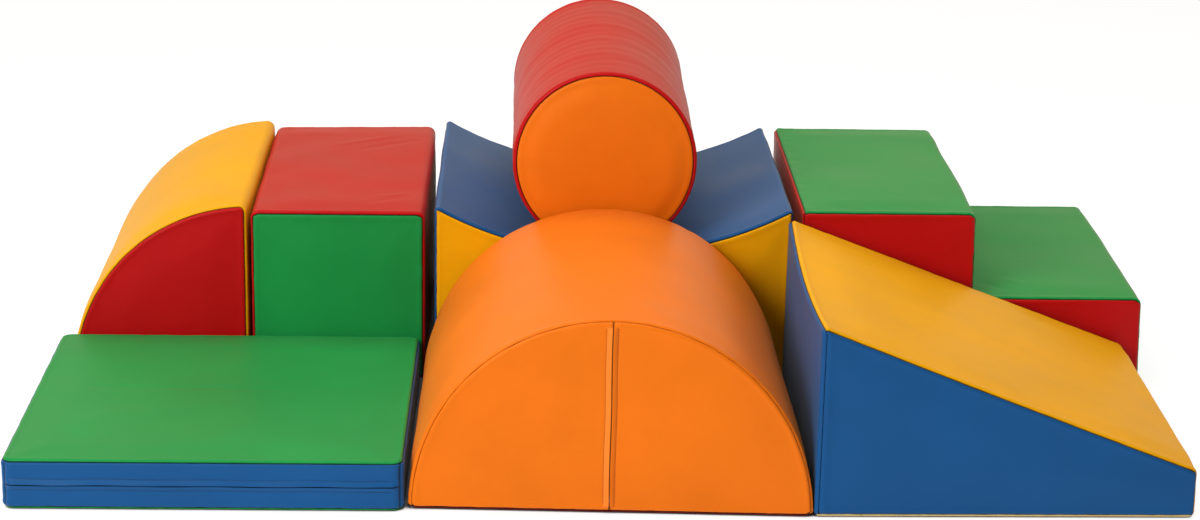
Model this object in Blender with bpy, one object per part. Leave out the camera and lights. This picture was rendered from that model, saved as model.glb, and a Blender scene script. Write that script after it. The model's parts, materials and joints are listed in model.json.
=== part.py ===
"""Soft play foam climber: eight vinyl-covered foam modules standing together as one climber.

Front row, left to right: floor mat, half-round, ramp.
Rear row, left to right: quarter-round, block, cradle with a roller lying in it, two-step stairs.
Each module is a foam core inside a sewn cover. The cover's panels meet on rolled seams and close
with a concealed zip: a tape with its chain under two raised lips, and a slider that runs on it.

Metres, +Z up, +X to the right and -Y towards the viewer. The origin is the centre of the
footprint, on the floor.
"""
import math
from collections import namedtuple

import bmesh
import bpy
from mathutils import Matrix, Vector

# Overall arrangement: the depth of each row, how far the rear row starts to the right of the front
# one, and the gaps between the modules as they stand
front_depth = 0.612
rear_depth = 0.594
row_gap = 0.010
rear_row_shift = 0.013
half_round_gap = 0.006
ramp_gap = 0.0075
block_gap = 0.0075
cradle_gap = 0.0175
stairs_gap = 0.022

# Floor mat
mat_width = 0.612
mat_height = 0.080
mat_corner_radius = 0.018

# Half-round
half_round_radius = 0.310
half_round_segments = 22

# Ramp
ramp_width = 0.583
ramp_height = 0.305
ramp_low_height = 0.078

# Quarter-round
quarter_round_radius = 0.307
quarter_round_segments = 12

# Block
block_width = 0.295
block_height = 0.298

# Cradle
cradle_width = 0.606
cradle_height = 0.310
cradle_dip = 0.078
cradle_shoulder_radius = 0.006
cradle_segments = 10

# Stairs
stairs_width = 0.593
high_step_width = 0.296
stairs_height = 0.305
low_step_height = 0.155

# Roller, which reaches past the cradle's back by its overhang
roller_radius = 0.156
roller_overhang = 0.006
roller_offset = -0.015
roller_segments = 36
roller_disc_crown = 0.006

# Cover and foam
cover_thickness = 0.0015
seam_roll_radius = 0.008
seam_corner_radius = 0.008
wrap_corner_radius = 0.014
half_corner_segments = 2
wrap_corner_segments = 3
crown_height = 0.003
crown_run = 0.032
piece_gap = 0.0003

# Zip
zip_tape_width = 0.020
zip_tape_thickness = 0.0006
zip_chain_width = 0.005
zip_chain_height = 0.0016
zip_chain_crest_share = 0.55
zip_stop_width = 0.007
zip_stop_height = 0.0020
zip_stop_length = 0.003
zip_bed_depth = 0.0012
zip_slider_wall = 0.0012
zip_slider_length = 0.010
zip_slider_nose_share = 0.55
zip_lip_ramp = 0.002
zip_slit_width = 0.0010
zip_lip_overlap = 0.006
zip_height = 0.110
ramp_zip_height = 0.040
zip_end_margin = 0.045
cut_overrun = 0.005

# Colours, as red, green and blue shares
green_shares = (0.060, 0.330, 0.120)
blue_shares = (0.025, 0.125, 0.330)
orange_shares = (0.870, 0.220, 0.020)
yellow_shares = (0.870, 0.420, 0.020)
red_shares = (0.440, 0.014, 0.018)
dark_red_shares = (0.120, 0.010, 0.010)
cream_shares = (0.620, 0.420, 0.120)
foam_shares = (0.720, 0.710, 0.680)
tape_shares = (0.040, 0.040, 0.045)
slider_shares = (0.450, 0.450, 0.470)

# Sizes worked out from those above
core_depth = cover_thickness + piece_gap
half_round_left = mat_width + half_round_gap
ramp_left = half_round_left + 2.0 * half_round_radius + ramp_gap
block_left = rear_row_shift + quarter_round_radius + block_gap
cradle_left = block_left + block_width + cradle_gap
stairs_left = cradle_left + cradle_width + stairs_gap
set_width = max(ramp_left + ramp_width, stairs_left + stairs_width)
roller_length = rear_depth + roller_overhang
set_depth = front_depth + row_gap + max(rear_depth, roller_length)
set_left = -set_width / 2.0
front_row = -set_depth / 2.0
rear_row = front_row + front_depth + row_gap
roll_trim = piece_gap / 2.0 / (seam_roll_radius - core_depth)
corner_trim = piece_gap / 2.0 / (seam_corner_radius - core_depth)
zip_tape_bottom = piece_gap - zip_bed_depth
zip_tape_top = zip_tape_bottom + zip_tape_thickness
zip_chain_top = zip_tape_top + zip_chain_height
zip_slider_top = zip_chain_top + piece_gap + zip_slider_wall
zip_roof = zip_slider_top + piece_gap
zip_lip_top = zip_roof + cover_thickness
zip_tunnel_width = zip_tape_width + 2.0 * piece_gap
zip_lip_width = zip_tunnel_width + 2.0 * cover_thickness

right = Vector((1.0, 0.0, 0.0))
up = Vector((0.0, 0.0, 1.0))
forward = Vector((0.0, -1.0, 0.0))
backward = Vector((0.0, 1.0, 0.0))

# One point of an outline. Corner is the sharp corner, or the point itself on an edge, and miter is
# how far the corner moves for each unit of inset. Radius and out place the point on the corner's
# rounding, and lift is its share of the crown.
Sample = namedtuple("Sample", "corner miter radius out lift")

# One edge of an outline with the corner after it: its two end normals, the points between its ends
# with their normals, its share of the crown, and that corner's radius and whether a seam runs there.
Edge = namedtuple("Edge", "start end first last inner lift radius seam")


def clear_scene():
    """Removes whatever the scene holds."""
    for item in list(bpy.data.objects):
        bpy.data.objects.remove(item, do_unlink=True)


def material(name, shares, roughness, metallic=0.0):
    """A Principled material of one colour."""
    made = bpy.data.materials.new(name)
    made.use_nodes = True
    shader = made.node_tree.nodes["Principled BSDF"]
    shader.inputs["Base Color"].default_value = (*shares, 1.0)
    shader.inputs["Roughness"].default_value = roughness
    shader.inputs["Metallic"].default_value = metallic
    return made


def add_shape(name, maker, parent):
    """Makes one object from a bmesh and hangs it on its parent, with its round faces smooth."""
    bmesh.ops.recalc_face_normals(maker, faces=maker.faces)
    mesh = bpy.data.meshes.new(name)
    maker.to_mesh(mesh)
    maker.free()
    mesh.shade_smooth()
    mesh.set_sharp_from_angle(angle=math.radians(32))
    made = bpy.data.objects.new(name, mesh)
    bpy.context.collection.objects.link(made)
    made.parent = parent
    return made


def add_vinyl(name, maker, parent, shares):
    """One panel of coated fabric."""
    made = add_shape(name, maker, parent)
    made.data.materials.append(material(name + "_vinyl", shares, roughness=0.45))
    return made


def add_foam(name, maker, parent):
    """One foam core."""
    made = add_shape(name, maker, parent)
    made.data.materials.append(material(name + "_foam", foam_shares, roughness=0.95))
    return made


def add_form(name, maker, parent):
    """A shape that only cuts or joins, and isn't a piece itself."""
    made = add_shape(name, maker, parent)
    made.hide_render = True
    made.display_type = "WIRE"
    return made


def add_frame(name, location):
    """A module's own frame."""
    made = bpy.data.objects.new(name, None)
    made.location = location
    bpy.context.collection.objects.link(made)
    return made


def combine(target, form, label, operation):
    """Cuts the form out of the target, or joins it on."""
    step = target.modifiers.new(label, "BOOLEAN")
    step.operation = operation
    step.solver = "EXACT"
    step.object = form


def outward(direction):
    """The outward normal of an edge that runs along direction, on a clockwise outline."""
    return Vector((-direction.y, direction.x))


def line(start, end, lift, radius, seam):
    """A straight edge and the corner after it."""
    normal = outward((end - start).normalized())
    return Edge(start, end, normal, normal, [], lift, radius, seam)


def arc(start, end, centre, segments, hollow, lift, radius, seam):
    """A round edge about centre, which lies outside the outline where the edge is hollow."""
    first = math.atan2(start.y - centre.y, start.x - centre.x)
    last = math.atan2(end.y - centre.y, end.x - centre.x)
    reach = (start - centre).length
    side = -1.0 if hollow else 1.0
    points = []
    for index in range(segments + 1):
        angle = first + (last - first) * index / segments
        around = Vector((math.cos(angle), math.sin(angle)))
        points.append((centre + around * reach, around * side))
    return Edge(start, end, points[0][1], points[-1][1], points[1:-1], lift, radius, seam)


def crown_reach(before, after):
    """How far from a corner the crown's ring turns, along each of the corner's edges."""
    return crown_run * math.tan(before.last.angle(after.first) / 2.0)


def edge_samples(before, edge, following):
    """Points along an edge, between its two corners."""
    if edge.inner:
        return [Sample(point, normal, 0.0, normal, edge.lift) for point, normal in edge.inner]
    along = (edge.end - edge.start).normalized()
    places = []
    if before.seam and edge.lift > 0.0:
        places.append(edge.start + along * crown_reach(before, edge))
    if edge.seam and edge.lift > 0.0:
        places.append(edge.end - along * crown_reach(edge, following))
    return [Sample(place, edge.first, 0.0, edge.first, edge.lift) for place in places]


def corner_samples(edge, following, lift, start_share, end_share, segments):
    """Points round the corner after an edge, from one share of its turn to another."""
    before = edge.last
    after = following.first
    miter = (before + after) / (1.0 + before.dot(after))
    if edge.radius == 0.0:
        return [Sample(edge.end, miter, 0.0, miter, 0.0)]
    turn = before.angle(after)
    first = math.atan2(before.y, before.x)
    samples = []
    for index in range(segments + 1):
        share = start_share + (end_share - start_share) * index / segments
        angle = first - turn * share
        out = Vector((math.cos(angle), math.sin(angle)))
        samples.append(Sample(edge.end, miter, edge.radius, out, lift))
    return samples


def trace(edges):
    """Walks a closed, clockwise outline.

    Returns the samples of each panel that wraps it, in order, and those of the whole ring. A panel
    stops short of the middle of a seam corner by half the gap, where the ring has one point.
    """
    spans = []
    ring = []
    current = []
    for index, edge in enumerate(edges):
        following = edges[(index + 1) % len(edges)]
        inner = edge_samples(edges[index - 1], edge, following)
        current.extend(inner)
        ring.extend(inner)
        if not edge.seam:
            lift = min(edge.lift, following.lift)
            around = corner_samples(edge, following, lift, 0.0, 1.0, wrap_corner_segments)
            current.extend(around)
            ring.extend(around)
            continue
        trim = corner_trim / edge.last.angle(following.first)
        half = half_corner_segments
        current.extend(corner_samples(edge, following, 0.0, 0.0, 0.5 - trim, half))
        spans.append(current)
        current = corner_samples(edge, following, 0.0, 0.5 + trim, 1.0, half)
        ring.extend(corner_samples(edge, following, 0.0, 0.0, 1.0, 2 * half))
    spans[0] = current + spans[0]
    return spans, ring


def circle(radius, segments):
    """Samples right round a circle, clockwise."""
    samples = []
    for index in range(segments):
        angle = -math.tau * index / segments
        out = Vector((math.cos(angle), math.sin(angle)))
        samples.append(Sample(out * radius, out, 0.0, out, 0.0))
    return samples


def inset(sample, depth):
    """The sample moved into the module by depth, or out of it where depth is negative."""
    if depth < sample.radius:
        return sample.corner - sample.miter * sample.radius + sample.out * (sample.radius - depth)
    return sample.corner - sample.miter * depth


def roll_point(depth, angle):
    """A point on the rolled seam, as its insets from the side and from the end face."""
    reach = seam_roll_radius - depth
    side = seam_roll_radius - reach * math.cos(angle)
    end = seam_roll_radius - reach * math.sin(angle)
    return side, end


def band_stations(length, depth, crown):
    """Inset, place and crown of each row of a band, from its front seam to its back one."""
    side, end = roll_point(depth, math.radians(45) - roll_trim)
    front = [(side, end, 0.0), (depth, seam_roll_radius, 0.0)]
    if crown > 0.0:
        front.append((depth, crown_run, crown))
    back = [(away, length - place, lift) for away, place, lift in reversed(front)]
    return front + back


def face_rings(depth, crown):
    """Inset from the side, and depth below the end face, of each ring of an end panel."""
    side, end = roll_point(depth, math.radians(45) + roll_trim)
    rings = [(side, end), (seam_roll_radius, depth)]
    if crown > 0.0:
        rings.append((crown_run, depth - crown))
    return rings


def along_y(flat, distance):
    """Places an outline that faces the viewer."""
    return Vector((flat.x, distance, flat.y))


def along_z(flat, distance):
    """Places an outline that lies on the floor."""
    return Vector((flat.x, flat.y, distance))


def add_grid(maker, rows, closed):
    """Adds faces between rows of points and returns their vertices."""
    grid = [[maker.verts.new(point) for point in row] for row in rows]
    for lower, upper in zip(grid, grid[1:]):
        last = len(lower) if closed else len(lower) - 1
        for index in range(last):
            after = (index + 1) % len(lower)
            maker.faces.new((lower[index], lower[after], upper[after], upper[index]))
    return grid


def merge(maker):
    """Joins points that an inset brought together in a corner."""
    bmesh.ops.remove_doubles(maker, verts=maker.verts, dist=piece_gap / 10.0)


def band_points(samples, stations, to_space):
    """The points of a band, one row for each sample."""
    rows = []
    for sample in samples:
        row = [to_space(inset(sample, away - lift * sample.lift), place)
               for away, place, lift in stations]
        rows.append(row)
    return rows


def make_band(samples, length, crown, to_space):
    """One wrapped panel: a sheet over a run of the outline, rolled in at its two end seams."""
    maker = bmesh.new()
    outer_stations = band_stations(length, 0.0, crown)
    inner_stations = band_stations(length, cover_thickness, crown)
    outer = add_grid(maker, band_points(samples, outer_stations, to_space), False)
    inner = add_grid(maker, band_points(samples, inner_stations, to_space), False)
    for end in (0, -1):
        for index in range(len(samples) - 1):
            maker.faces.new((outer[index][end], outer[index + 1][end],
                             inner[index + 1][end], inner[index][end]))
        for index in range(len(outer_stations) - 1):
            maker.faces.new((outer[end][index], outer[end][index + 1],
                             inner[end][index + 1], inner[end][index]))
    merge(maker)
    return maker


def make_face(ring, length, crown, to_space, far_end):
    """One end panel: a sheet over the outline, rolled round its edge to meet the bands."""
    maker = bmesh.new()
    edges = []
    for depth in (0.0, cover_thickness):
        rows = []
        for away, below in face_rings(depth, crown):
            place = length - below if far_end else below
            rows.append([to_space(inset(sample, away), place) for sample in ring])
        grid = add_grid(maker, rows, True)
        maker.faces.new(grid[-1])
        edges.append(grid[0])
    outer, inner = edges
    for index in range(len(ring)):
        after = (index + 1) % len(ring)
        maker.faces.new((outer[index], outer[after], inner[after], inner[index]))
    merge(maker)
    return maker


def make_core(ring, length, front_crown, side_crown, back_crown, to_space):
    """The foam block, one gap inside its cover all over."""
    maker = bmesh.new()
    side, end = roll_point(core_depth, math.radians(45))
    places = [(away, below, 0.0) for away, below in reversed(face_rings(core_depth, front_crown)[1:])]
    places.append((side, end, 0.0))
    places.extend(band_stations(length, core_depth, side_crown)[1:-1])
    places.append((side, length - end, 0.0))
    back = face_rings(core_depth, back_crown)[1:]
    places.extend([(away, length - below, 0.0) for away, below in back])
    rows = band_points(ring, places, to_space)
    grid = add_grid(maker, [list(row) for row in zip(*rows)], True)
    maker.faces.new(grid[0])
    maker.faces.new(grid[-1])
    merge(maker)
    return maker


def make_tube(samples, length, to_space):
    """A band that goes right round."""
    maker = bmesh.new()
    outer_rows = band_points(samples, band_stations(length, 0.0, 0.0), to_space)
    inner_rows = band_points(samples, band_stations(length, cover_thickness, 0.0), to_space)
    outer = add_grid(maker, [list(row) for row in zip(*outer_rows)], True)
    inner = add_grid(maker, [list(row) for row in zip(*inner_rows)], True)
    for end in (0, -1):
        for index in range(len(samples)):
            after = (index + 1) % len(samples)
            maker.faces.new((outer[end][index], outer[end][after],
                             inner[end][after], inner[end][index]))
    return maker


def bar(stations, frame):
    """A closed bar: a profile of (across, out) points at each place along it."""
    maker = bmesh.new()
    rows = []
    for along, profile in stations:
        rows.append([frame @ Vector((along, across, out)) for across, out in profile])
    grid = add_grid(maker, rows, True)
    maker.faces.new(grid[0])
    maker.faces.new(grid[-1])
    return maker


def straight_bar(half_length, profile, frame):
    """A bar of one profile, centred on its frame."""
    return bar([(-half_length, profile), (half_length, profile)], frame)


def zip_frame(centre, along, out):
    """A frame on a core's face, with X along the zip, Y across it and Z out of the face."""
    across = out.cross(along)
    turn = Matrix((along, across, out)).transposed()
    return Matrix.Translation(centre) @ turn.to_4x4()


def rectangle(left, right_side, low, high):
    """A rectangle as (across, out) points."""
    return [(left, low), (right_side, low), (right_side, high), (left, high)]


def lip_profile():
    """The outside of the two raised lips, which stand on the panel."""
    shoulder = zip_lip_width / 2.0
    foot = shoulder + zip_lip_ramp
    low = piece_gap + cover_thickness / 2.0
    step = piece_gap + cover_thickness
    return [(-foot, low), (foot, low), (foot, step),
            (shoulder, zip_lip_top), (-shoulder, zip_lip_top), (-foot, step)]


def tape_profile(bead_width, bead_height):
    """The tape with the chain, or a stop, standing on it."""
    tape = zip_tape_width / 2.0
    bead = bead_width / 2.0
    crest = bead * zip_chain_crest_share
    low = zip_tape_bottom
    foot = zip_tape_top
    middle = foot + bead_height / 2.0
    top = foot + bead_height
    return [(-tape, low), (tape, low), (tape, foot), (bead, foot), (bead, middle),
            (crest, top), (-crest, top), (-bead, middle), (-bead, foot), (-tape, foot)]


def slider_profile(outer, inner):
    """The slider's section: a saddle over the chain, with two flanges down to the tape."""
    low = zip_tape_top + piece_gap
    roof = zip_chain_top + piece_gap
    top = zip_slider_top
    return [(-outer, low), (-inner, low), (-inner, roof), (inner, roof),
            (inner, low), (outer, low), (outer, top), (-outer, top)]


def add_zip(prefix, parent, frame, length):
    """The tape with its chain between two stops, and the slider at the zip's closed end."""
    half = length / 2.0
    chain = tape_profile(zip_chain_width, zip_chain_height)
    stop = tape_profile(zip_stop_width, zip_stop_height)
    inner_end = half - zip_stop_length
    tape = bar([(-half, stop), (-inner_end, stop), (piece_gap - inner_end, chain),
                (inner_end - piece_gap, chain), (inner_end, stop), (half, stop)], frame)
    tape = add_shape(prefix + "_zip_tape", tape, parent)
    tape.data.materials.append(material(prefix + "_tape", tape_shares, roughness=0.85))
    inner = zip_chain_width / 2.0 + piece_gap
    shoulder = slider_profile(inner + zip_slider_wall, inner)
    nose = slider_profile(inner + zip_slider_wall * zip_slider_nose_share, inner)
    start = 2.0 * piece_gap - inner_end
    taper = zip_slider_length / 4.0
    end = start + zip_slider_length
    slider = bar([(start, nose), (start + taper, shoulder), (end - taper, shoulder), (end, nose)],
                 frame)
    slider = add_shape(prefix + "_zip_slider", slider, parent)
    metal = material(prefix + "_slider", slider_shares, roughness=0.35, metallic=1.0)
    slider.data.materials.append(metal)


def open_for_zip(prefix, parent, frame, length, lip_length, core, panels):
    """Raises the lips, hollows the tunnel under them, beds the tape in the foam and adds the zip.

    A single panel is slit along the zip. Of two panels, the first is cut back to the side that
    the frame's Y leaves, and the second to the side that it points to.
    """
    half = length / 2.0 + piece_gap
    half_slit = zip_slit_width / 2.0
    half_tunnel = zip_tunnel_width / 2.0
    low = -zip_bed_depth
    high = zip_lip_top + cut_overrun
    lips = straight_bar(lip_length / 2.0, lip_profile(), frame)
    lips = add_form(prefix + "_lip_form", lips, parent)
    tunnel = straight_bar(half, rectangle(-half_tunnel, half_tunnel, low, zip_roof), frame)
    tunnel = add_form(prefix + "_tunnel_form", tunnel, parent)
    combine(core, tunnel, "zip bed", "DIFFERENCE")
    for panel in panels:
        combine(panel, lips, "raised lips", "UNION")
        combine(panel, tunnel, "zip tunnel", "DIFFERENCE")
    if len(panels) == 1:
        slit = straight_bar(half, rectangle(-half_slit, half_slit, low, high), frame)
        slit = add_form(prefix + "_slit_form", slit, parent)
        combine(panels[0], slit, "slit", "DIFFERENCE")
    else:
        reach = front_depth + rear_depth
        deep = -seam_roll_radius - cut_overrun
        sides = (rectangle(-half_slit, reach, deep, high), rectangle(-reach, half_slit, deep, high))
        for panel, side in zip(panels, sides):
            form = add_form(panel.name + "_trim_form", straight_bar(reach, side, frame), parent)
            combine(panel, form, "other side of the zip", "DIFFERENCE")
    add_zip(prefix, parent, frame, length)


def add_module(prefix, parent, edges, length, to_space, bands, front, back):
    """Adds one module's core, its bands in outline order and its two end panels.

    Bands and ends are given as (name, colour, crown). Two names on one piece give two copies of it,
    each of which is cut back to one side of a zip.
    """
    spans, ring = trace(edges)
    side_crown = max(crown for names, shares, crown in bands)
    core = make_core(ring, length, front[2], side_crown, back[2], to_space)
    made = {"core": add_foam(prefix + "_core", core, parent)}
    for span, (names, shares, crown) in zip(spans, bands):
        for name in names:
            band = make_band(span, length, crown, to_space)
            made[name] = add_vinyl(prefix + "_" + name, band, parent, shares)
    for far_end, (names, shares, crown) in ((False, front), (True, back)):
        for name in names:
            face = make_face(ring, length, crown, to_space, far_end)
            made[name] = add_vinyl(prefix + "_" + name, face, parent, shares)
    return made


def add_back_zip(prefix, parent, made, depth, middle, height, length):
    """A level zip across the back panel of a module of this depth."""
    centre = Vector((middle, depth - core_depth, height))
    frame = zip_frame(centre, right, backward)
    lips = length + 2.0 * zip_lip_overlap
    open_for_zip(prefix, parent, frame, length, lips, made["core"], [made["back"]])


def flat(x, y):
    """A point of an outline."""
    return Vector((x, y))


def add_floor_mat():
    """Floor mat: flat top and base panels, with a side band that is zipped along its front."""
    parent = add_frame("floor_mat_frame", (set_left, front_row, 0.0))
    corners = [flat(0.0, 0.0), flat(0.0, front_depth), flat(mat_width, front_depth),
               flat(mat_width, 0.0)]
    radius = mat_corner_radius
    edges = [
        line(corners[0], corners[1], 1.0, radius, False),
        line(corners[1], corners[2], 1.0, radius, False),
        line(corners[2], corners[3], 1.0, radius, True),
        line(corners[3], corners[0], 0.0, radius, True),
    ]
    bands = [(("side_band",), blue_shares, crown_height),
             (("front_lower", "front_upper"), blue_shares, 0.0)]
    base = (("base",), green_shares, 0.0)
    top = (("top",), green_shares, crown_height)
    made = add_module("floor_mat", parent, edges, mat_height, along_z, bands, base, top)
    length = mat_width - 2.0 * zip_end_margin
    frame = zip_frame(Vector((mat_width / 2.0, core_depth, mat_height / 2.0)), right, forward)
    panels = [made["front_lower"], made["front_upper"]]
    open_for_zip("floor_mat", parent, frame, length, mat_width - 2.0 * radius, made["core"], panels)


def add_half_round():
    """Half-round: one barrel panel, and a front panel that an upright zip splits in two."""
    parent = add_frame("half_round_frame", (set_left + half_round_left, front_row, 0.0))
    radius = half_round_radius
    left = flat(0.0, 0.0)
    right_end = flat(2.0 * radius, 0.0)
    centre = flat(radius, 0.0)
    corner = seam_corner_radius
    edges = [
        arc(left, right_end, centre, half_round_segments, False, 1.0, corner, True),
        line(right_end, left, 0.0, corner, True),
    ]
    bands = [(("barrel",), orange_shares, crown_height), (("base",), dark_red_shares, 0.0)]
    front = (("front_right", "front_left"), orange_shares, 0.0)
    back = (("back",), orange_shares, crown_height)
    made = add_module("half_round", parent, edges, front_depth, along_y, bands, front, back)
    lips = radius - 2.0 * seam_roll_radius
    length = lips - 2.0 * zip_lip_overlap
    frame = zip_frame(Vector((radius, core_depth, radius / 2.0)), up, forward)
    panels = [made["front_right"], made["front_left"]]
    open_for_zip("half_round", parent, frame, length, lips, made["core"], panels)


def add_ramp():
    """Ramp: one panel down the slope and the low end, and another on the tall end."""
    parent = add_frame("ramp_frame", (set_left + ramp_left, front_row, 0.0))
    corners = [flat(0.0, 0.0), flat(0.0, ramp_height), flat(ramp_width, ramp_low_height),
               flat(ramp_width, 0.0)]
    seam = seam_corner_radius
    edges = [
        line(corners[0], corners[1], 1.0, seam, True),
        line(corners[1], corners[2], 1.0, wrap_corner_radius, False),
        line(corners[2], corners[3], 1.0, seam, True),
        line(corners[3], corners[0], 0.0, seam, True),
    ]
    bands = [(("tall_end",), blue_shares, crown_height), (("slope",), yellow_shares, crown_height),
             (("base",), cream_shares, 0.0)]
    front = (("front",), blue_shares, crown_height)
    back = (("back",), blue_shares, 0.0)
    made = add_module("ramp", parent, edges, front_depth, along_y, bands, front, back)
    length = ramp_width - 2.0 * zip_end_margin
    add_back_zip("ramp", parent, made, front_depth, ramp_width / 2.0, ramp_zip_height, length)


def add_quarter_round():
    """Quarter-round: one strip over the curve and down the straight side."""
    parent = add_frame("quarter_round_frame", (set_left + rear_row_shift, rear_row, 0.0))
    radius = quarter_round_radius
    toe = flat(0.0, 0.0)
    top = flat(radius, radius)
    heel = flat(radius, 0.0)
    seam = seam_corner_radius
    edges = [
        arc(toe, top, heel, quarter_round_segments, False, 1.0, wrap_corner_radius, False),
        line(top, heel, 1.0, seam, True),
        line(heel, toe, 0.0, seam, True),
    ]
    bands = [(("strip",), yellow_shares, crown_height), (("base",), yellow_shares, 0.0)]
    front = (("front",), red_shares, crown_height)
    back = (("back",), red_shares, 0.0)
    made = add_module("quarter_round", parent, edges, rear_depth, along_y, bands, front, back)
    curve = radius - math.sqrt(radius ** 2 - zip_height ** 2)
    length = radius - curve - 2.0 * zip_end_margin
    add_back_zip("quarter_round", parent, made, rear_depth, (radius + curve) / 2.0, zip_height,
                 length)


def add_block():
    """Block: one strip up both sides and over the top."""
    parent = add_frame("block_frame", (set_left + block_left, rear_row, 0.0))
    corners = [flat(0.0, 0.0), flat(0.0, block_height), flat(block_width, block_height),
               flat(block_width, 0.0)]
    seam = seam_corner_radius
    edges = [
        line(corners[0], corners[1], 1.0, wrap_corner_radius, False),
        line(corners[1], corners[2], 1.0, wrap_corner_radius, False),
        line(corners[2], corners[3], 1.0, seam, True),
        line(corners[3], corners[0], 0.0, seam, True),
    ]
    bands = [(("strip",), red_shares, crown_height), (("base",), red_shares, 0.0)]
    front = (("front",), green_shares, crown_height)
    back = (("back",), green_shares, 0.0)
    made = add_module("block", parent, edges, rear_depth, along_y, bands, front, back)
    length = block_width - 2.0 * zip_end_margin
    add_back_zip("block", parent, made, rear_depth, block_width / 2.0, zip_height, length)


def cradle_hollow():
    """The cradle's hollow, as an arc that dips between its two shoulders."""
    half = cradle_width / 2.0
    radius = (half ** 2 + cradle_dip ** 2) / (2.0 * cradle_dip)
    centre = flat(half, cradle_height - cradle_dip + radius)
    left = flat(0.0, cradle_height)
    right_end = flat(cradle_width, cradle_height)
    return arc(left, right_end, centre, cradle_segments, True, 0.0, cradle_shoulder_radius, False)


def add_cradle():
    """Cradle: one strip up both sides and through the hollow."""
    parent = add_frame("cradle_frame", (set_left + cradle_left, rear_row, 0.0))
    hollow = cradle_hollow()
    left_foot = flat(0.0, 0.0)
    right_foot = flat(cradle_width, 0.0)
    seam = seam_corner_radius
    edges = [
        line(left_foot, hollow.start, 1.0, cradle_shoulder_radius, False),
        hollow,
        line(hollow.end, right_foot, 1.0, seam, True),
        line(right_foot, left_foot, 0.0, seam, True),
    ]
    bands = [(("strip",), blue_shares, crown_height), (("base",), blue_shares, 0.0)]
    front = (("front",), yellow_shares, crown_height)
    back = (("back",), yellow_shares, 0.0)
    made = add_module("cradle", parent, edges, rear_depth, along_y, bands, front, back)
    length = cradle_width - 2.0 * zip_end_margin
    add_back_zip("cradle", parent, made, rear_depth, cradle_width / 2.0, zip_height, length)


def add_stairs():
    """Stairs: one strip over both treads, the riser and the low end, and another on the tall end."""
    parent = add_frame("stairs_frame", (set_left + stairs_left, rear_row, 0.0))
    width = stairs_width
    tall_foot = flat(0.0, 0.0)
    tall_top = flat(0.0, stairs_height)
    nose = flat(high_step_width, stairs_height)
    crease = flat(high_step_width, low_step_height)
    low_nose = flat(width, low_step_height)
    low_foot = flat(width, 0.0)
    wrap = wrap_corner_radius
    seam = seam_corner_radius
    edges = [
        line(tall_foot, tall_top, 1.0, seam, True),
        line(tall_top, nose, 1.0, wrap, False),
        line(nose, crease, 1.0, 0.0, False),
        line(crease, low_nose, 1.0, wrap, False),
        line(low_nose, low_foot, 1.0, seam, True),
        line(low_foot, tall_foot, 0.0, seam, True),
    ]
    bands = [(("tall_end",), red_shares, crown_height),
             (("tread_strip",), green_shares, crown_height), (("base",), red_shares, 0.0)]
    front = (("front",), red_shares, crown_height)
    back = (("back",), red_shares, 0.0)
    made = add_module("stairs", parent, edges, rear_depth, along_y, bands, front, back)
    length = width - 2.0 * zip_end_margin
    add_back_zip("stairs", parent, made, rear_depth, width / 2.0, low_step_height / 2.0, length)


def roller_axis():
    """Where the roller's axis lies when it rests on the facets of the cradle's hollow."""
    hollow = cradle_hollow()
    place = cradle_width / 2.0 + roller_offset
    points = [point for point, normal in hollow.inner]
    heights = []
    for low, high in zip(points, points[1:]):
        slope = (high.y - low.y) / (high.x - low.x)
        below = low.y + slope * (place - low.x)
        heights.append(below + (roller_radius + piece_gap) * math.sqrt(1.0 + slope ** 2))
    return Vector((set_left + cradle_left + place, rear_row, max(heights)))


def add_roller():
    """Roller: a barrel panel right round the foam, closed by a disc at each end."""
    parent = add_frame("roller_frame", roller_axis())
    ring = circle(roller_radius, roller_segments)
    core = make_core(ring, roller_length, roller_disc_crown, 0.0, 0.0, along_y)
    core = add_foam("roller_core", core, parent)
    add_vinyl("roller_barrel", make_tube(ring, roller_length, along_y), parent, red_shares)
    front = make_face(ring, roller_length, roller_disc_crown, along_y, False)
    add_vinyl("roller_front_disc", front, parent, orange_shares)
    back = make_face(ring, roller_length, 0.0, along_y, True)
    back = add_vinyl("roller_back_disc", back, parent, orange_shares)
    frame = zip_frame(Vector((0.0, roller_length - core_depth, 0.0)), up, backward)
    length = 2.0 * (roller_radius - zip_end_margin)
    lips = length + 2.0 * zip_lip_overlap
    open_for_zip("roller", parent, frame, length, lips, core, [back])


clear_scene()
add_floor_mat()
add_half_round()
add_ramp()
add_quarter_round()
add_block()
add_cradle()
add_stairs()
add_roller()
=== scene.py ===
"""Looks of the soft play climber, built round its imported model.

Every panel of the vinyl covers is remade as a fine sheet. It rolls over the foam's edges, dives into
its seams, puckers beside them, and folds into two lips along its zip. The foam under the covers, the
stitches, the camera, the floor and the lights follow.

Metres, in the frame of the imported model: +X to the right, -Y towards the viewer, +Z up.
"""

import json
import math
from collections import namedtuple

import bmesh
import bpy
import numpy as np
from mathutils import Matrix, Vector
from mathutils.geometry import delaunay_2d_cdt


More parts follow.
